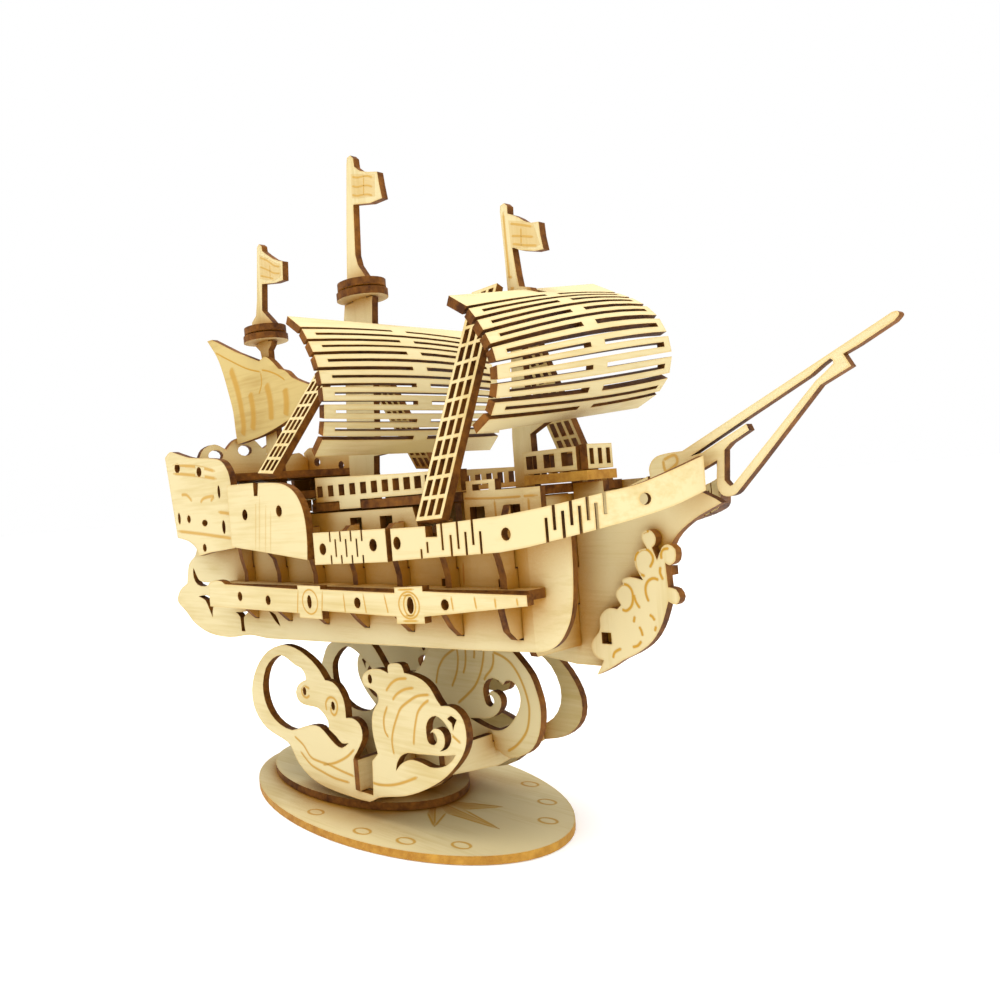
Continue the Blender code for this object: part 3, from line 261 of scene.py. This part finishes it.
def plywood(name, axis, grain, edge_tones=EDGE_TONES, face_tones=FACE_TONES):
    material = bpy.data.materials.new(name)
    material.use_nodes = True
    tree = material.node_tree
    shader = tree.nodes["Principled BSDF"]
    place = tree.nodes.new("ShaderNodeTexCoord").outputs["Object"]
    narrow = [FIBRE_ALONG if index == grain else FIBRE_ACROSS for index in range(3)]
    wide = [FIGURE_ALONG if index == grain else FIGURE_ACROSS for index in range(3)]
    fibres = noise_node(tree, place, 1.6, 5.0, narrow, 0.62)
    figure = noise_node(tree, place, 1.0, 3.0, wide)
    stains = noise_node(tree, place, STAIN_SCALE, 3.0, EVEN)
    scorch = noise_node(tree, place, SCORCH_SCALE, 4.0, EVEN, 0.7)
    shade = blend_values(tree, fibres, FIBRE_SHARE, figure, FIGURE_SHARE)
    face = ramp_node(tree, shade, FACE_STOPS, face_tones)
    burnt = blend_values(tree, scorch, SCORCH_SHARE, stains, STAIN_SHARE)
    edge = ramp_node(tree, burnt, EDGE_STOPS, edge_tones)

    halo = math_node(tree, "MULTIPLY", halo_mask(tree),
                     math_node(tree, "ADD", stains, HALO_LEAST), clamp=True)
    toned = mix_node(tree, halo, face, HALO_COLOUR)
    engraved = mix_node(tree, named_value(tree, "line"), toned, LINE_COLOUR)
    # Painted shade: faces are darkened where other plates stand close.
    shaded = mix_node(tree, painted_shade_mask(tree), engraved, PAINTED_SHADE_COLOUR, "MULTIPLY")
    colour = mix_node(tree, edge_mask(tree, axis), shaded, edge)
    link(tree, colour, shader.inputs["Base Color"])

    rough = math_node(tree, "ADD", math_node(tree, "MULTIPLY", fibres, ROUGH_SPREAD),
                      ROUGH_LEAST)
    link(tree, rough, shader.inputs["Roughness"])
    shader.inputs["Specular IOR Level"].default_value = GLOSS
    bump = tree.nodes.new("ShaderNodeBump")
    bump.inputs["Strength"].default_value = BUMP_STRENGTH
    bump.inputs["Distance"].default_value = BUMP_DEPTH * MM
    height = math_node(tree, "ADD", fibres, math_node(tree, "MULTIPLY", scorch, SCORCH_BUMP))
    link(tree, height, bump.inputs["Height"])
    link(tree, bump.outputs[0], shader.inputs["Normal"])
    return material


# The frame's plates: each gets the plywood that suits the way it faces.
def plate_axis(item):
    # Of the directions that the item's faces look in, the one across which it is thinnest.
    mesh = item.data
    areas = {}
    for face in mesh.polygons:
        normal = face.normal
        key = max(range(3), key=lambda index: abs(normal[index]))
        if normal[key] < 0.0:
            normal = -normal
        rounded = tuple(round(value, 2) for value in normal)
        areas[rounded] = areas.get(rounded, 0.0) + face.area
    least = max(areas.values()) * MAIN_FACE_SHARE
    spans = {}
    for direction, area in areas.items():
        if area > least:
            axis = Vector(direction).normalized()
            reach = [axis.dot(vertex.co) for vertex in mesh.vertices]
            spans[direction] = max(reach) - min(reach)
    return Vector(min(spans, key=spans.get)).normalized()


def grain_of(item, axis):
    # The grain runs along the plate's longer side.
    low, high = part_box(item.name)
    sizes = [high[index] - low[index] for index in range(3)]
    across = max(range(3), key=lambda index: abs(axis[index]))
    return max((index for index in range(3) if index != across), key=sizes.__getitem__)


def facet_parts(mesh_edit):
    # Groups of faces joined smoothly, largest area first.
    groups = []
    waiting = set(mesh_edit.faces)
    for start in mesh_edit.faces:
        if start not in waiting:
            continue
        waiting.discard(start)
        group = [start]
        stack = [start]
        while stack:
            face = stack.pop()
            for edge in face.edges:
                if len(edge.link_faces) != 2:
                    continue
                if edge.calc_face_angle(math.pi) > SMOOTH_LIMIT:
                    continue
                for other in edge.link_faces:
                    if other in waiting:
                        waiting.discard(other)
                        group.append(other)
                        stack.append(other)
        groups.append(group)
    return sorted(groups, key=lambda group: -sum(face.calc_area() for face in group))


def bent_copy(name):
    # A bent plate can't tell its edges by one direction, so its cut faces are marked.
    item = nodes[name]
    mesh_edit = bmesh.new()
    mesh_edit.from_mesh(item.data)
    bmesh.ops.remove_doubles(mesh_edit, verts=mesh_edit.verts, dist=WELD)
    burn = mesh_edit.faces.layers.float.new("burn")
    for number, group in enumerate(facet_parts(mesh_edit)):
        for face in group:
            face[burn] = 0.0 if number < 2 else 1.0
            face.smooth = number < 2
    for edge in mesh_edit.edges:
        edge.smooth = edge.calc_face_angle(math.pi) < SMOOTH_LIMIT
    mesh = bpy.data.meshes.new(name + "_veneer")
    mesh_edit.to_mesh(mesh)
    mesh_edit.free()
    piece = bpy.data.objects.new(name + "_veneer", mesh)
    bpy.context.scene.collection.objects.link(piece)
    grain = 0 if name.startswith("bulwark") else 1
    piece.data.materials.append(plywood("ply_" + name, None, grain))
    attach(piece, "root")
    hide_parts(name)


def dress_plates():
    made = {}
    for name, item in nodes.items():
        if name in BENT:
            bent_copy(name)
            continue
        axis = plate_axis(item)
        grain = grain_of(item, axis)
        edge_tones = GOLD_TONES if name in GOLD_EDGED else EDGE_TONES
        face_tones = SMOKED_TONES if name in SMOKED else FACE_TONES
        key = tuple(round(value, 2) for value in axis) + (grain, edge_tones, face_tones)
        if key not in made:
            made[key] = plywood("ply_%d" % len(made), axis, grain, edge_tones, face_tones)
        item.material_slots[0].material = made[key]
        veneer[name] = made[key]


# Engravings: shallow scorched lines that follow the face of the plate under them.
WAVE_LINES = (
    ((26.7, 35.8), (29.1, 37.9), (31.9, 39.2), (35.4, 39.7)),
    ((29.1, 33.9), (30.8, 35.4), (33.9, 36.9), (37.7, 37.7)),
    ((43.3, 36.7), (38.8, 35.9), (35.2, 34.2), (32.1, 32.3), (30.4, 30.1), (28.4, 26.6),
     (27.5, 23.6), (27.9, 20.5)),
    ((42.9, 35.4), (40.8, 34.2), (38.6, 32.2), (37.5, 29.9), (36.6, 27.3), (35.9, 24)),
    ((26.8, 32.2), (25, 29.1), (24.9, 26.1), (26.2, 24.5)),
    ((17.8, 12), (21, 12), (25.9, 12.8), (30.8, 14.3), (36.3, 16.5)),
    ((-17.7, 18.7), (-13.4, 16.9), (-10, 14.1), (-5.7, 13.5), (-1.4, 13.4), (4.1, 12.7),
     (10.1, 12.2)),
    ((-15.2, 14.9), (-10.3, 12), (-4.6, 10.9), (1, 10.2), (7.8, 10.2)),
    ((-4.3, 12.9), (1.6, 14.3), (7.4, 16.8), (11.1, 19.3)),
    ((47.7, 29.5), (50.3, 28.2), (52.9, 26.9)),
    ((-7.8, 32.9), (-10, 33.3), (-11.7, 32.3), (-11.5, 30.9), (-9.7, 30.3), (-8, 31.1)),
    ((-0.2, 27.9), (-0.3, 29.9), (1.4, 31.5), (3.8, 31.5), (5, 30.1), (4.5, 28.1), (3.2, 27.1),
     (1.9, 27.8), (2, 29)))
SHELL_LINES = (
    ((46.3, 43.4), (49.5, 42.6), (52, 41.3), (53.9, 39.4), (55.4, 37), (56.5, 34.3),
     (57.1, 31.3), (56.7, 28.2), (55.7, 25.6), (53.8, 23.3), (51.4, 21.3), (48.7, 19.8)),
    ((32.8, 43.3), (31.1, 42.6), (28.8, 41.3), (27.2, 40), (25.4, 37.7), (24.4, 35.1),
     (24, 33.7)),
    ((33.1, 43.6), (33.4, 41.4), (33, 38.9), (32, 36.4), (30.1, 33.4)),
    ((36.4, 43.8), (36.3, 41.3), (35.8, 39.1), (34.9, 37.2)),
    ((39.7, 43.7), (39.6, 42.4), (39.3, 41.3)),
    ((43.2, 43.5), (42.5, 40.8), (41.2, 37.7), (39, 34.6), (35.9, 32.1), (31.9, 29.4)),
    ((46.4, 43.2), (46.2, 41), (45.2, 39.1), (43.3, 37.4), (42.4, 36.2)))
ORNAMENT_LINES = (
    ((95.1, 62.5), (93.5, 63.2), (92.9, 64.9), (93.2, 66.6), (94.6, 67.8), (96.1, 67.8),
     (97.2, 66.8), (97.3, 65.6), (96.4, 64.2)),
    ((87.6, 59.6), (89, 60.7), (90.5, 60.6), (91.5, 59.5), (91.6, 57.8), (91, 56.3),
     (89.7, 55.4), (88.6, 55.6)),
    ((91.9, 58.8), (92.3, 57.3), (93.2, 56)),
    ((95.5, 57.4), (95, 58.8), (95, 60.3), (95.7, 61.5), (97, 62.1), (98.3, 61.8)),
    ((99, 64.4), (98.8, 63.2), (99.4, 61.8)),
    ((101.3, 68), (100, 67.8), (99.4, 67), (99.4, 65.9)),
    ((95.4, 54.8), (96.1, 54.4), (96.6, 53.7)),
    ((91.7, 54.4), (91.3, 53)),
    ((92.6, 52.3), (93.1, 51.4), (93.3, 50.4)),
    ((92.9, 49.4), (91.9, 48.4), (90.5, 48)),
    ((85.2, 45.3), (85.8, 46.6), (87.6, 47.5)),
    ((96.8, 52.6), (96.4, 51.5)),
    ((95.5, 71.1), (96, 71.4), (96.9, 71.5)))
SAIL_PLEATS = (
    ((-65.4, 128.8), (-62.8, 123.5), (-61.2, 118.7), (-60.3, 113.9), (-59.9, 109.3),
     (-61, 106.5)),
    ((-54.1, 119.4), (-53.2, 115), (-53.3, 110.8), (-54.4, 107.5)),
    ((-43.8, 120.8), (-42.4, 116.5), (-42.2, 112.8), (-42.5, 109.3)),
    ((-33.2, 117.9), (-32.9, 114.9), (-33.2, 112), (-34, 109.7)))
SAIL_LINES = (
    ((-46.5, 124.5), (-46.5, 121.2), (-48.7, 118.1)),
    ((-45.8, 125.3), (-42.2, 124.4), (-37.1, 122.6), (-32.8, 120.3)),
    ((-75.4, 135.8), (-65.6, 131.5), (-55.1, 127.2), (-46.5, 124.8)))
GALLERY_LINES = (
    ((-64.6, 95.4), (-49.7, 93.8), (-36.5, 91.9)),
    ((-64.7, 97.8), (-49.2, 96.4), (-37, 94.1)),
    ((-60, 88.5), (-56.4, 88.3), (-53.2, 86.3)),
    ((-47.8, 85.6), (-45.1, 86.8), (-39.3, 87), (-41.4, 85.7)),
    ((-37.3, 82.4), (-29.2, 81.5)),
    ((-64.8, 77.6), (-46.1, 76.1), (-29.6, 74.6)))
QUARTER_LINES = (
    ((-11.5, 86), (-14, 71.4)), ((-9.6, 85.5), (-12, 71.4)),
    ((-6.8, 83), (-8.9, 70.9)), ((-4.6, 81.3), (-6.3, 70.9)))
STRIP_LINES = (
    ((6.4, 61.2), (5.1, 54.4)), ((17.4, 61.2), (16.2, 54.4)),
    ((26.2, 60.9), (26.5, 55.6)), ((34.1, 61), (35, 55.8)), ((42.1, 61), (43.2, 56.2)),
    ((46.8, 62.1), (52.2, 62.3)), ((48.3, 60.9), (51.2, 61)),
    ((48.8, 56.5), (51.6, 56.6)), ((47.8, 55.3), (52.8, 55.5)),
    ((63.4, 61), (63.7, 58)), ((69.7, 61), (70.1, 58.4)),
    ((75.1, 60.8), (75.2, 58.7)), ((80.6, 60.8), (80.8, 59.3)))
STRIP_RINGS = (((11.5, 58.4), 3.4, 3.0), ((50.2, 58.8), 3.3, 2.9), ((50.4, 58.8), 1.9, 2.3))
SIDE_LINES = (((59.9, 67.4), (59.5, 62.2)), ((74.2, 69.4), (73.8, 62.2)),
              ((60, 80.9), (66, 80.6), (72.8, 80.4), (81.4, 80.4)),
              ((70.4, 80.1), (70.5, 75.9)), ((79.3, 80.1), (79.3, 76)))
FLAG_LINES = {
    "main_mast": (
        ((6.1, 169.8), (8.3, 168.9), (10.5, 168.5), (12.9, 167.9), (15, 166.9)),
        ((5.7, 167.4), (7.9, 166.5), (10.2, 166.1), (12.6, 165.5), (14.7, 164.5)),
        ((5.4, 165.1), (7.6, 164.2), (9.8, 163.8), (12.3, 163.2), (14.4, 162.3)),
        ((11.3, 168.7), (10.5, 163.1))),
    "fore_mast": (
        ((63.6, 141.6), (67, 140.4), (70.4, 139.1)),
        ((63.7, 138.8), (67, 137.9), (70.6, 136.8)),
        ((63.8, 137), (67.7, 135.7), (71.4, 134.7)),
        ((66.9, 140.1), (66.6, 135.9)),
        ((61.8, 144.7), (61.9, 137.2), (62.1, 129)),
        ((61.7, 130), (62.9, 129.7)),
        ((62.2, 127.3), (63.3, 127.1))),
    "mizzen_mast": (
        ((-45.2, 160.4), (-41, 158.4), (-37.2, 156), (-34, 154.9)),
        ((-45.6, 157.6), (-41.4, 155.7), (-37.6, 153.8), (-34.2, 152.9)),
        ((-45.9, 154.9), (-41.8, 153.5), (-38, 152.1)),
        ((-39.6, 157.2), (-40, 152.6))),
    "bowsprit": (((100, 85.2), (102.7, 86), (103.2, 84.4), (100.5, 83), (100, 85.2)),)}
FLAG_FIELDS = {
    "main_mast": ((5.6, 170.6), (9, 169.6), (13, 168.6), (16, 167.4), (15.4, 161.8), (12, 162.6),
                  (8, 163.4), (5.2, 164.3)),
    "fore_mast": ((63.2, 142.4), (67, 141.2), (70.6, 139.9), (72.2, 134.6), (68, 135),
                  (63.4, 136.2)),
    "mizzen_mast": ((-45.4, 161.2), (-41, 159.3), (-37, 157), (-33.6, 155.6), (-33.6, 152),
                    (-38, 151.4), (-42, 152.6), (-46, 154))}
STAR_CENTRE = (18.3, 0.0)
STAR_TIPS = ((32.9, -12.5), (47.4, -4.6), (37.4, 6.3))
STAR_INNER = ((23.9, -7.2), (28.0, -4.6), (30.1, -0.5), (27.8, 3.4))
RING_MARKS = ((19.8, -24.5), (34.0, -22.2), (47.1, -16.4), (53.6, 5.7), (44.6, 15.1),
              (31.2, 22.7), (-2.2, -23.6))
RING_HALF_X = 2.7
RING_HALF_Y = 1.5


def smooth_line(points):
    # A curve through the points, sampled evenly on every span.
    if len(points) == 2:
        start, end = Vector(points[0]), Vector(points[1])
        return [start.lerp(end, step / STRAIGHT_STEPS) for step in range(STRAIGHT_STEPS + 1)]
    line = []
    for index in range(len(points) - 1):
        before = Vector(points[max(index - 1, 0)])
        start = Vector(points[index])
        end = Vector(points[index + 1])
        after = Vector(points[min(index + 2, len(points) - 1)])
        for step in range(LINE_STEPS):
            t = step / LINE_STEPS
            line.append(start * (2 * t ** 3 - 3 * t ** 2 + 1)
                        + (end - before) * 0.5 * (t ** 3 - 2 * t ** 2 + t)
                        + end * (3 * t ** 2 - 2 * t ** 3)
                        + (after - start) * 0.5 * (t ** 3 - t ** 2))
    line.append(Vector(points[-1]))
    return line


class Engraving:
    # Collects strips that are laid on one side of a node, then makes them one piece.
    def __init__(self, name, axis, side):
        item = nodes[name]
        corners = [item.matrix_world @ vertex.co for vertex in item.data.vertices]
        faces = [tuple(face.vertices) for face in item.data.polygons]
        self.tree = BVHTree.FromPolygons(corners, faces)
        self.name = name
        self.axis = axis
        self.side = side
        low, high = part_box(name)
        self.start = (high[axis] if side > 0 else low[axis]) + side * RAY_START
        self.mesh = bmesh.new()
        self.depth = self.mesh.verts.layers.float.new("line")

    def lay(self, u, v, lift, value):
        # A vertex on the plate's face, or nothing where there is a hole.
        origin = [u * MM, v * MM]
        origin.insert(self.axis, self.start)
        way = Vector((0.0, 0.0, 0.0))
        way[self.axis] = -self.side
        place, normal, _, distance = self.tree.ray_cast(Vector(origin), way)
        if place is None or abs(normal[self.axis]) < FLAT_ENOUGH or distance > RAY_REACH:
            return None
        vertex = self.mesh.verts.new(place - way * lift * MM)
        vertex[self.depth] = value
        return vertex

    def quads(self, rows):
        for first, second in zip(rows[:-1], rows[1:]):
            for index in range(len(first) - 1):
                ring = (first[index], first[index + 1], second[index + 1], second[index])
                if None not in ring:
                    self.mesh.faces.new(ring)

    def line(self, points, width, value):
        path = smooth_line(points)
        rows = []
        for index, point in enumerate(path):
            along = path[min(index + 1, len(path) - 1)] - path[max(index - 1, 0)]
            across = Vector((-along.y, along.x)).normalized()
            taper = TIP_TAPER if index in (0, len(path) - 1) else 1.0
            row = []
            for share, lift, tone in STRIP_PROFILE:
                spot = point + across * width * taper * share
                row.append(self.lay(spot.x, spot.y, lift * LINE_LIFT, tone * value * taper))
            rows.append(row)
        self.quads(rows)

    def ring(self, centre, half_u, half_v, width, value):
        points = []
        for index in range(RING_STEPS + 1):
            angle = 2.0 * math.pi * index / RING_STEPS
            points.append((centre[0] + half_u * math.cos(angle),
                           centre[1] + half_v * math.sin(angle)))
        self.line(points, width, value)

    def patch(self, corners, value):
        # A filled area, fanned from its middle.
        middle = sum((Vector(corner) for corner in corners), Vector((0.0, 0.0))) / len(corners)
        low, high = (LINE_LIFT * share for share in PATCH_LIFTS)
        hub = self.lay(middle.x, middle.y, high, value)
        rim = [self.lay(corner[0], corner[1], low, value * PATCH_RIM) for corner in corners]
        for index, vertex in enumerate(rim):
            ring = (hub, rim[index - 1], vertex)
            if None not in ring:
                self.mesh.faces.new(ring)

    def finish(self):
        bmesh.ops.recalc_face_normals(self.mesh, faces=self.mesh.faces[:])
        for face in self.mesh.faces:
            face.normal_update()
            if face.normal[self.axis] * self.side < 0.0:
                face.normal_flip()
        title = "engraving_" + self.name + ("" if self.side < 0 else "_far")
        mesh = bpy.data.meshes.new(title)
        self.mesh.to_mesh(mesh)
        self.mesh.free()
        mesh.materials.append(veneer[self.name])
        piece = bpy.data.objects.new(title, mesh)
        bpy.context.scene.collection.objects.link(piece)
        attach(piece, "root")


def engrave(name, side, lines, width, value, rings=()):
    work = Engraving(name, 1, side)
    if name in FLAG_FIELDS:
        work.patch(FLAG_FIELDS[name], FLAG_TINT)
    for points in lines:
        work.line(points, width, value)
    for centre, half_u, half_v in rings:
        work.ring(centre, half_u, half_v, width, value)
    work.finish()


def mirrored(lines, about):
    return [[(2.0 * about - x, z) for x, z in points] for points in lines]


def build_engravings():
    engrave("wave_plate_starboard", -1, WAVE_LINES, LINE_WIDTH, CLEAR_BURN)
    engrave("wave_plate_port", 1, mirrored(WAVE_LINES, WAVE_TURN_X), LINE_WIDTH, CLEAR_BURN)
    engrave("bow_ornament", -1, ORNAMENT_LINES, CARVED_LINE, FULL_BURN)
    for side, label in ((-1, "starboard"), (1, "port")):
        engrave("wave_plate_middle", side, SHELL_LINES, LINE_WIDTH, CLEAR_BURN)
        engrave("gallery_panel_" + label, side, GALLERY_LINES, BROAD_LINE, MILD_BURN)
        engrave("quarter_panel_" + label, side, QUARTER_LINES, HAIR_LINE, FAINT_BURN)
        engrave("wale_strip_" + label, side, STRIP_LINES, HAIR_LINE, CLEAR_BURN, STRIP_RINGS)
        engrave("side_plate_" + label, side, SIDE_LINES, THIN_LINE, MILD_BURN)
        for name, lines in FLAG_LINES.items():
            engrave(name, side, lines, FLAG_LINE, MILD_BURN)
    sail = Engraving("mizzen_sail", 1, -1)
    for points in SAIL_PLEATS:
        sail.line(points, PLEAT_LINE, MILD_BURN)
    for points in SAIL_LINES:
        sail.line(points, THIN_LINE, FULL_BURN)
    sail.finish()


def build_compass():
    work = Engraving("base_disc", 2, 1)
    for left, tip, right in zip(STAR_INNER[:-1], STAR_TIPS, STAR_INNER[1:]):
        work.patch((STAR_CENTRE, left, tip), MILD_BURN)
        work.patch((STAR_CENTRE, tip, right), STAR_TINT)
        work.line((left, tip), FLAG_LINE, CLEAR_BURN)
        work.line((tip, right), FLAG_LINE, CLEAR_BURN)
        work.line((STAR_CENTRE, tip), STAR_LINE, CLEAR_BURN)
    for centre in RING_MARKS:
        work.ring(centre, RING_HALF_X, RING_HALF_Y, RING_LINE, CLEAR_BURN)
    work.finish()


# Stage: pale floor, soft lights and the camera of the photograph.
def build_floor():
    mesh_edit = bmesh.new()
    bmesh.ops.create_grid(mesh_edit, x_segments=FLOOR_CELLS, y_segments=FLOOR_CELLS,
                          size=FLOOR_SIZE / 2.0)
    mesh = bpy.data.meshes.new("floor")
    mesh_edit.to_mesh(mesh)
    mesh_edit.free()
    floor = bpy.data.objects.new("floor", mesh)
    floor.location.z = -FLOOR_DROP
    bpy.context.scene.collection.objects.link(floor)
    material = bpy.data.materials.new("floor_paper")
    material.use_nodes = True
    tree = material.node_tree
    shader = tree.nodes["Principled BSDF"]
    place = tree.nodes.new("ShaderNodeTexCoord").outputs["Object"]
    fibre = noise_node(tree, place, PAPER_SCALE, 3.0, EVEN)
    tone = ramp_node(tree, fibre, PAPER_STOPS, PAPER_TONES)
    link(tree, tone, shader.inputs["Base Color"])
    shader.inputs["Roughness"].default_value = 0.9
    # The floor glows, more strongly near the ship: painted light that washes out the ship's
    # shadow on the floor.
    spot = tree.nodes.new("ShaderNodeVectorMath")
    spot.operation = "LENGTH"
    link(tree, place, spot.inputs[0])
    glow = tree.nodes.new("ShaderNodeMapRange")
    glow.inputs["From Min"].default_value = GLOW_START
    glow.inputs["From Max"].default_value = GLOW_END
    glow.inputs["To Min"].default_value = GLOW_NEAR
    glow.inputs["To Max"].default_value = GLOW_FAR
    link(tree, spot.outputs["Value"], glow.inputs["Value"])
    link(tree, tone, shader.inputs["Emission Color"])
    link(tree, glow.outputs[0], shader.inputs["Emission Strength"])
    mesh.materials.append(material)


def build_lights():
    for name, place, aim, size, power, colour in LIGHTS:
        data = bpy.data.lights.new(name, "AREA")
        data.size = size
        data.energy = power
        data.color = colour
        item = bpy.data.objects.new(name, data)
        bpy.context.scene.collection.objects.link(item)
        item.location = place
        direction = Vector(aim) - Vector(place)
        item.rotation_euler = direction.to_track_quat("-Z", "Y").to_euler()
    world = bpy.data.worlds.new("studio")
    world.use_nodes = True
    background = world.node_tree.nodes["Background"]
    background.inputs["Color"].default_value = WHITE + (1.0,)
    background.inputs["Strength"].default_value = 1.0
    bpy.context.scene.world = world


def build_camera():
    ahead = Vector(CAMERA_AHEAD).normalized()
    right = Vector(CAMERA_RIGHT).normalized()
    up = right.cross(ahead).normalized()
    right = ahead.cross(up).normalized()
    place = Vector(CAMERA_PLACE) * MM
    data = bpy.data.cameras.new("camera")
    data.sensor_width = CAMERA_SENSOR
    data.lens = CAMERA_LENS
    data.clip_start = CAMERA_NEAR
    item = bpy.data.objects.new("camera", data)
    bpy.context.scene.collection.objects.link(item)
    rows = [(right[i], up[i], -ahead[i], place[i]) for i in range(3)]
    item.matrix_world = Matrix(rows + [(0.0, 0.0, 0.0, 1.0)])
    bpy.context.scene.camera = item


build_camera()
build_floor()
build_lights()
dress_plates()
build_engravings()
build_compass()

bpy.context.scene.view_settings.view_transform = "Standard"
